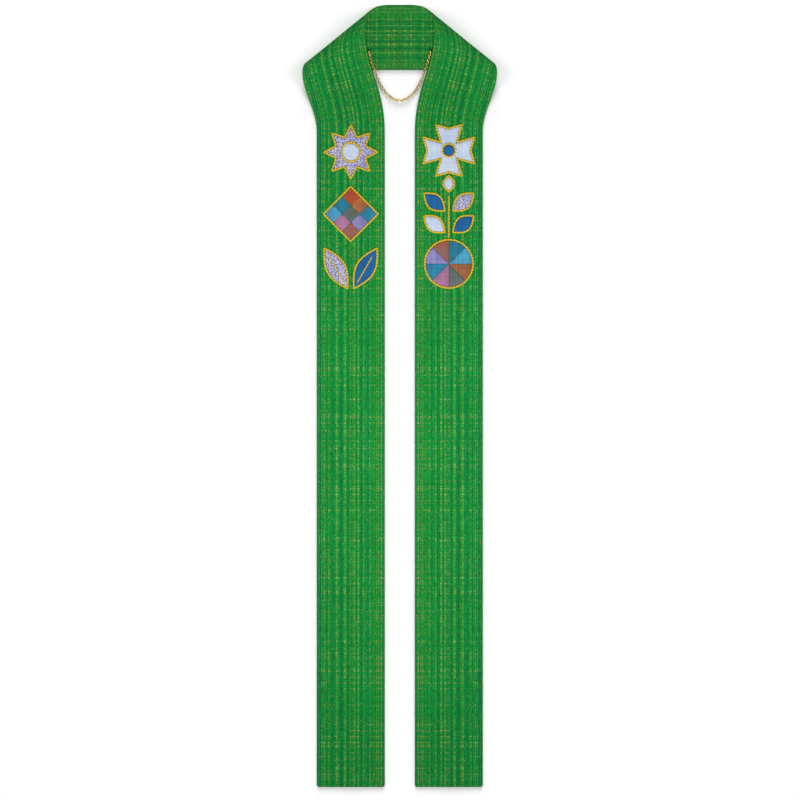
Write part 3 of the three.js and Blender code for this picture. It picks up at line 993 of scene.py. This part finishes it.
def add_couched_cord(name, plan, width, base, materials, node_name, closed=True):
    """Two twisted strands along a plan line, held down by stitches over them."""
    line = evenly(np.asarray(plan), CORD_STEP, closed)
    line = softened(line, CORD_ROUNDS, closed)
    heights = base + width * CORD_RISE + lift(line[:, 0], NECK_EDGE - line[:, 1])
    line = np.column_stack([line, heights])
    count = len(line)
    steps = np.linalg.norm(np.diff(line, axis=0, append=line[:1]), axis=1)
    run = np.concatenate([[0], np.cumsum(steps[:-1])])
    whole = run[-1] + (steps[-1] if closed else 0)
    turns = max(1, round(whole / TWIST))
    if closed:
        tangent = np.roll(line, -1, axis=0) - np.roll(line, 1, axis=0)
    else:
        tangent = np.gradient(line, axis=0)
    tangent /= np.linalg.norm(tangent, axis=1, keepdims=True)
    aside = np.cross(tangent, [0, 0, 1.0])
    above = np.cross(aside, tangent)
    strand = width / 4
    bundle = Bundle()
    for phase in (0, math.pi):
        angle = 2 * math.pi * turns * run / whole + phase
        wound = aside * np.cos(angle)[:, None] + above * np.sin(angle)[:, None] * CORD_FLAT
        bundle.add(tube(line + wound * strand, strand * STRAND_FULL, STRAND_SIDES, closed))
    stitches = max(1, round(whole / STITCH_EVERY))
    for number in range(stitches):
        spot = int((number + 0.5) / stitches * count)
        angles = np.linspace(-STITCH_TUCK, math.pi + STITCH_TUCK, STITCH_POINTS)
        reach = width / 2 + STITCH * STITCH_OUT
        slant = tangent[spot] * STITCH_SLANT
        arc = (line[spot] + np.outer(np.cos(angles) * reach, aside[spot])
               + np.outer(np.sin(angles) * reach * STITCH_FLAT, above[spot])
               + np.outer(np.linspace(-1, 1, STITCH_POINTS), slant))
        bundle.add(tube(arc, STITCH, STITCH_SIDES, False), 1)
    piece = bundle.piece(name, materials)
    stand_for(piece, "gold_cord", node_name)


def add_edge_cord(name, outline, materials, base=ON_CLOTH):
    add_couched_cord("couched_" + name, moved_out(outline, CORD_BESIDE), CORD_WIDTH, base,
                     materials, name + "_cord")


# ---- appliqué, in mm from a front's middle line and down from the neck edge ----
STAR = {"down": 260, "tip": 44, "notch": 26, "tips": 8, "disc": 15}
LOZENGE = {"down": 369, "half_diagonal": 46, "squares": 3}
PAIR = {"base": 498, "tip_aside": 45, "tip_down": 432, "width": 30, "base_aside": 7,
        "vein": (0.12, 0.8)}  # where the vein starts and stops, in shares from base to tip
CROSS = {"down": 257, "reach": 43, "waist": 12, "flare": 21, "hollow": 6, "disc": 10}
STEM = {"top": 337, "bottom": 410}
SPRIG_LEAVES = [
    # name, cloth, base aside and down, tip aside and down, width (mm)
    ("sprig_top", "pale_blue", 0, 328, 0, 303.5, 17),
    ("sprig_1", "blue", -9, 362, -42, 334, 24),
    ("sprig_2", "tweed", 9, 362, 42, 334, 24),
    ("sprig_3", "pale_blue", -9, 400, -42, 374, 24),
    ("sprig_4", "blue", 9, 400, 42, 374, 24),
]
WHEEL = {"down": 457, "radius": 41, "wedges": 8}
PATCHWORK = [
    # cloth, its colour, and the colour that it drifts towards
    ("rust", (0.40, 0.095, 0.045), (0.27, 0.13, 0.11)),
    ("lilac", (0.30, 0.26, 0.56), (0.21, 0.20, 0.45)),
    ("teal", (0.025, 0.27, 0.46), (0.03, 0.20, 0.33)),
    ("rose", (0.46, 0.19, 0.34), (0.36, 0.16, 0.30)),
    ("grey_green", (0.10, 0.15, 0.12), (0.15, 0.16, 0.17)),
    ("ochre", (0.48, 0.15, 0.045), (0.30, 0.12, 0.06)),
    ("sky", (0.065, 0.38, 0.62), (0.09, 0.28, 0.45)),
    ("sea_blue", (0.015, 0.16, 0.26), (0.02, 0.22, 0.32)),
    ("brick", (0.45, 0.075, 0.03), (0.30, 0.09, 0.05)),
]


def patch_cloths():
    cloths = {
        "pale_blue": patch_cloth("pale_blue", (0.70, 0.82, 0.98), (0.60, 0.74, 0.94),
                                 fleck=(0.55, 0.56, 0.82), fleck_share=0.45),
        "tweed": patch_cloth("tweed", (0.66, 0.62, 0.80), (0.52, 0.52, 0.74),
                             fleck=(0.10, 0.11, 0.32), fleck_share=0.9, tone=0.22),
        "blue": patch_cloth("blue", (0.012, 0.15, 0.40), (0.010, 0.12, 0.33), tone=0.16),
    }
    for name, colour, partner in PATCHWORK:
        cloths[name] = patch_cloth(name, colour, partner, tone=0.2)
    return cloths


def add_edged_patch(name, outline, cloth, cloths, cord, base=ON_CLOTH):
    add_patch("patch_" + name, outline, cloths[cloth], cloth, base, name)
    add_edge_cord(name, outline, cord, base)


def add_left_applique(cloths, cord):
    star = on_front(-1, 0, STAR["down"])
    star_cut = star_outline(star, STAR["tip"] * MM, STAR["notch"] * MM, STAR["tips"])
    add_edged_patch("star", star_cut, "tweed", cloths, cord)
    disc_cut = disc_outline(star, STAR["disc"] * MM)
    add_edged_patch("star_disc", disc_cut, "pale_blue", cloths, cord, ON_PATCH)
    middle = on_front(-1, 0, LOZENGE["down"])
    side = LOZENGE["half_diagonal"] * math.sqrt(2) * MM
    cell = side / LOZENGE["squares"]
    for row in range(LOZENGE["squares"]):
        for column in range(LOZENGE["squares"]):
            number = row * LOZENGE["squares"] + column
            cut = square_outline(middle, -side / 2 + column * cell + GAP / 2,
                                 -side / 2 + row * cell + GAP / 2, cell - GAP)
            name = f"lozenge_{number + 1}"
            cloth = PATCHWORK[number][0]
            add_patch("patch_" + name, cut, cloths[cloth], cloth, ON_CLOTH, name)
    add_edge_cord("lozenge", square_outline(middle, -side / 2, -side / 2, side), cord)
    for name, aside, cloth in (("leaf_outer", -1, "tweed"), ("leaf_inner", 1, "blue")):
        base = on_front(-1, aside * PAIR["base_aside"], PAIR["base"])
        tip = on_front(-1, aside * PAIR["tip_aside"], PAIR["tip_down"])
        cut = leaf_outline(base, tip, PAIR["width"] * MM)
        add_edged_patch(name, cut, cloth, cloths, cord)
        vein = [base + (tip - base) * share for share in PAIR["vein"]]
        add_couched_cord("couched_" + name + "_vein", vein, FINE_CORD_WIDTH, ON_PATCH, cord,
                         name + "_vein", closed=False)


def add_right_applique(cloths, cord):
    cross = on_front(1, 0, CROSS["down"])
    cut = cross_outline(cross, *(CROSS[k] * MM for k in ("reach", "waist", "flare", "hollow")))
    add_edged_patch("cross", cut, "pale_blue", cloths, cord)
    disc_cut = disc_outline(cross, CROSS["disc"] * MM, 30)
    add_edged_patch("cross_disc", disc_cut, "blue", cloths, cord, ON_PATCH)
    stem = [on_front(1, 0, STEM["bottom"]), on_front(1, 0, STEM["top"])]
    add_couched_cord("couched_sprig_stem", stem, CORD_WIDTH, ON_CLOTH, cord,
                     "sprig_stem", closed=False)
    for name, cloth, aside, down, tip_aside, tip_down, width in SPRIG_LEAVES:
        cut = leaf_outline(on_front(1, aside, down), on_front(1, tip_aside, tip_down), width * MM)
        add_edged_patch(name, cut, cloth, cloths, cord)
    hub = on_front(1, 0, WHEEL["down"])
    step = 2 * math.pi / WHEEL["wedges"]
    for number in range(WHEEL["wedges"]):
        start = math.pi / 2 + step * number
        cut = wedge_outline(hub, WHEEL["radius"] * MM, start, start + step)
        cut = moved_out(cut, -GAP / 2)
        name = f"wheel_{number + 1}"
        cloth = PATCHWORK[number][0]
        add_patch("patch_" + name, cut, cloths[cloth], cloth, ON_CLOTH, name)
    add_edge_cord("wheel", disc_outline(hub, WHEEL["radius"] * MM, 72), cord)


# ---- the stage ----
FLOOR_SIZE = 16  # m
FLOOR_WHITE = (0.9, 0.9, 0.9, 1)
WORLD = 0.30
WASHES = [
    # low wide lamps on the floor: name, turn and height in degrees, strength
    ("wash_back", 90, 14, 4.6),
    ("wash_right", 0, 28, 0.9),
    ("wash_left", 180, 28, 0.9),
]
WASH_SPREAD = math.radians(24)
FLOOR_TOP = 0.62
TOP_SPREAD = math.radians(100)
KEY_PLACE = (0.0, -0.14, 1.25)
KEY_AIM = (0.0, 0.50, 0.0)
KEY = 12.4  # W
KEY_SIZE = 0.7  # m


def add_floor():
    deselect_all()
    bpy.ops.mesh.primitive_plane_add(size=FLOOR_SIZE)
    floor = bpy.context.active_object
    floor.name = "floor"
    tree, surface, material = new_material("white_floor", 0.9, specular=0.0)
    surface.inputs["Base Color"].default_value = FLOOR_WHITE
    floor.data.materials.append(material)
    floor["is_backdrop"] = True
    return floor


def add_lamp(name, kind, come_from, energy, receivers, **settings):
    """A lamp shining on the receivers only, from a place towards the origin."""
    data = bpy.data.lights.new(name, kind)
    data.energy = energy
    for key, value in settings.items():
        setattr(data, key, value)
    lamp = bpy.data.objects.new(name, data)
    bpy.context.scene.collection.objects.link(lamp)
    lamp.location = come_from
    lamp.rotation_euler = Vector(come_from).to_track_quat("Z", "Y").to_euler()
    lamp.light_linking.receiver_collection = receivers
    return lamp


def light_the_stage(floor):
    """White floor by its own lamps, and a soft box that lights the stole alone."""
    stole = bpy.data.collections.new("stole_pieces")
    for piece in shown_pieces():
        stole.objects.link(piece)
    ground = bpy.data.collections.new("ground")
    ground.objects.link(floor)
    world = bpy.data.worlds.new("studio")
    bpy.context.scene.world = world
    world.use_nodes = True
    background = world.node_tree.nodes["Background"]
    background.inputs["Color"].default_value = (1, 1, 1, 1)
    background.inputs["Strength"].default_value = WORLD
    for name, turn, elevation, strength in WASHES:
        turn, low = math.radians(turn), math.radians(elevation)
        come_from = (math.cos(turn) * math.cos(low), math.sin(turn) * math.cos(low), math.sin(low))
        add_lamp(name, "SUN", come_from, strength, ground, angle=WASH_SPREAD)
    add_lamp("floor_top", "SUN", (0, 0, 1), FLOOR_TOP, ground, angle=TOP_SPREAD)
    key = add_lamp("soft_box", "AREA", KEY_PLACE, KEY, stole, shape="DISK", size=KEY_SIZE)
    key.rotation_euler = (Vector(KEY_PLACE) - Vector(KEY_AIM)).to_track_quat("Z", "Y").to_euler()
    bpy.context.scene.view_settings.view_transform = "Standard"


# ---- the stole and its stage ----
brass = chain_metal()
add_chain(brass)
add_crimp("left", -1, brass)
add_crimp("right", 1, brass)
green = green_cloth()
add_half("left", -1, green)
add_half("right", 1, green)
gilt = gold_thread("gilt_cord", GILT, GILT_SHADE)
couching = gold_thread("couching_thread", COUCHING, COUCHING_SHADE)
cut_cloths = patch_cloths()
add_left_applique(cut_cloths, [gilt, couching])
add_right_applique(cut_cloths, [gilt, couching])
stage_floor = add_floor()
light_the_stage(stage_floor)
